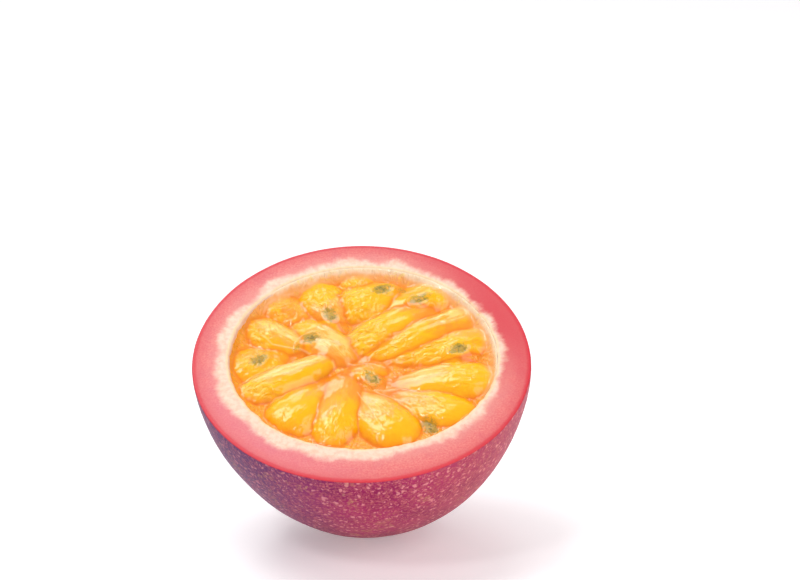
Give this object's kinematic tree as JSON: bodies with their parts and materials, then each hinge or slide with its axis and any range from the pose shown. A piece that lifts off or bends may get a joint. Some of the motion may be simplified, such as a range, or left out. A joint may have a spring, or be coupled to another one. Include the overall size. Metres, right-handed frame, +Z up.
{
  "type": "passion fruit half",
  "caption": "Cut half of a passion fruit leaning on its side: thick purple rind cup with a white pith lining, filled with yellow juice sacs and dark seeds.",
  "frame": {"origin": "middle of the small flat spot that the fruit rests on, in its plane", "axes": "+Z up, +X to the right as the cut face is seen, and the cut face leans 30 degrees from level towards -Y"},
  "size_m": [0.0524, 0.0488, 0.0428],
  "materials": {
    "rind": "satin",
    "pulp": "gloss",
    "seed": "satin"
  },
  "bodies": {
    "root": {"rind": "rind", "pulp": "pulp", "seed_left": "seed", "seed_left_back": "seed", "seed_back_left": "seed", "seed_back": "seed", "seed_back_right": "seed", "seed_right": "seed", "seed_middle": "seed", "seed_front_right": "seed"}
  },
  "joints": []
}
